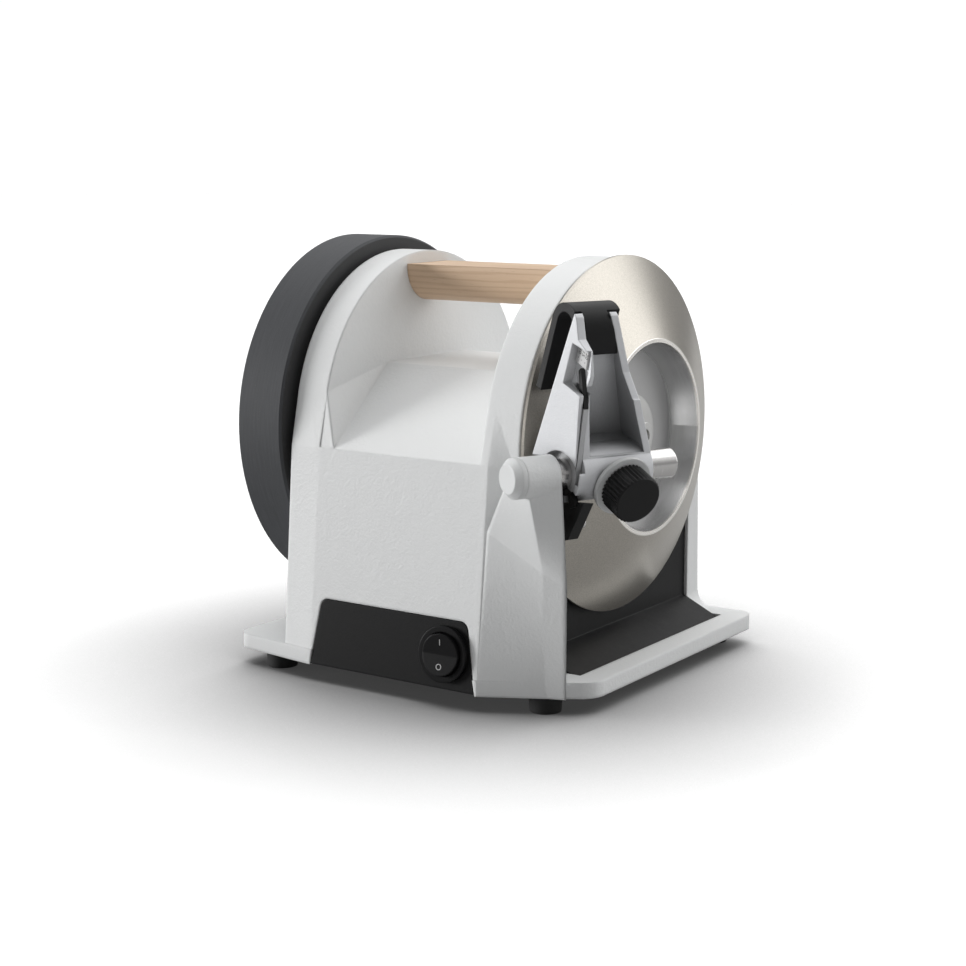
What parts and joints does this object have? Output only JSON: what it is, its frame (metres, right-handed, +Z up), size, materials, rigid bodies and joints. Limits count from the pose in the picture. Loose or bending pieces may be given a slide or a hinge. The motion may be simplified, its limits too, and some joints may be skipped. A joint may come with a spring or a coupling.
{
  "type": "bench knife sharpener",
  "caption": "Bench knife sharpener with a conical diamond wheel, a dark honing wheel, a white housing, a wooden carrying handle and an adjustable knife guide.",
  "frame": {"origin": "on the floor under the middle of the whole part", "axes": "+X along the spindle towards the diamond wheel, -Y the front with the switch, +Z up"},
  "size_m": [0.1962, 0.1802, 0.183],
  "materials": {
    "white_paint": "fine-textured powder coat",
    "silver_paint": "satin silver-grey paint",
    "steel": "turned and ground steel",
    "diamond_coat": "satin diamond-coated steel",
    "honing_composite": "matte composite",
    "black_plastic": "fine matte moulded plastic",
    "light_plastic": "light grey moulded plastic",
    "beech": "oiled pale hardwood",
    "rubber": "matte rubber",
    "cast_aluminium": "die-cast aluminium",
    "copper_wire": "varnished copper winding"
  },
  "bodies": {
    "frame": {"axle_cap": "light_plastic", "bearing_balls": "steel", "bearing_outer_rings": "steel", "bottom_cover": "black_plastic", "cable_gland": "black_plastic", "capacitor": "black_plastic", "cover_screws": "steel", "dust_tray": "black_plastic", "feet": "rubber", "foot_screws": "steel", "front_panel": "black_plastic", "gear_plate": "steel", "gear_plate_screws": "steel", "guide_axle": "steel", "handle": "beech", "handle_screws": "steel", "housing": "white_paint", "idler_pin": "steel", "motor_bushes": "steel", "motor_can": "cast_aluminium", "motor_cap_drive": "cast_aluminium", "motor_cap_rear": "cast_aluminium", "motor_screws": "steel", "stator_core": "steel", "stator_windings": "copper_wire", "stop_pin": "steel", "switch_body": "black_plastic", "terminal_block": "black_plastic"},
    "spindle_group": {"spindle": "steel", "bearing_inner_rings": "steel", "spindle_gear": "steel", "diamond_wheel": "diamond_coat", "wheel_washer": "steel", "wheel_screw": "steel", "honing_flange": "steel", "honing_wheel": "honing_composite", "honing_washer": "steel", "honing_nut": "steel"},
    "layshaft": {"layshaft_gear": "black_plastic"},
    "rotor": {"rotor_core": "steel", "motor_shaft": "steel", "motor_pinion": "steel"},
    "lever": {"angle_lever": "black_plastic"},
    "guide": {"guide_body": "silver_paint", "scale_plate": "light_plastic", "blade_clip": "black_plastic", "knob_collar": "light_plastic"},
    "knob": {"angle_knob": "black_plastic", "knob_shaft": "steel"},
    "rocker": {"switch_rocker": "black_plastic"}
  },
  "joints": [
    {"name": "spindle_spin", "type": "hinge", "parent": "frame", "child": "spindle_group", "pos_m": [0, 0.01, 0.103], "axis": [1, 0, 0], "continuous": true},
    {"name": "layshaft_spin", "type": "hinge", "parent": "frame", "child": "layshaft", "pos_m": [0, 0.01, 0.073], "axis": [1, 0, 0], "continuous": true},
    {"name": "rotor_spin", "type": "hinge", "parent": "frame", "child": "rotor", "pos_m": [0, 0.01, 0.047], "axis": [1, 0, 0], "continuous": true},
    {"name": "guide_slide", "type": "slide", "parent": "frame", "child": "lever", "axis": [0.417, 0.9089, 0], "range_m": [-0.003, 0.005]},
    {"name": "guide_angle", "type": "hinge", "parent": "lever", "child": "guide", "pos_m": [0.06124, -0.07167, 0.0985], "axis": [0.417, 0.9089, 0], "range_deg": [-5, 5]},
    {"name": "angle_knob_turn", "type": "hinge", "parent": "guide", "child": "knob", "pos_m": [0.07271, -0.04668, 0.0985], "axis": [0.8427, -0.3867, -0.3746], "range_deg": [-50, 50]},
    {"name": "switch_rock", "type": "hinge", "parent": "frame", "child": "rocker", "pos_m": [0.0157, -0.07461, 0.02194], "axis": [1, 0, 0], "range_deg": [-7, 7]}
  ],
  "couplings": [
    {"joint": "layshaft_spin", "follows": "spindle_spin", "ratio": -2.5714},
    {"joint": "rotor_spin", "follows": "spindle_spin", "ratio": 8.5714},
    {"joint": "angle_knob_turn", "follows": "guide_angle", "ratio": 10}
  ]
}
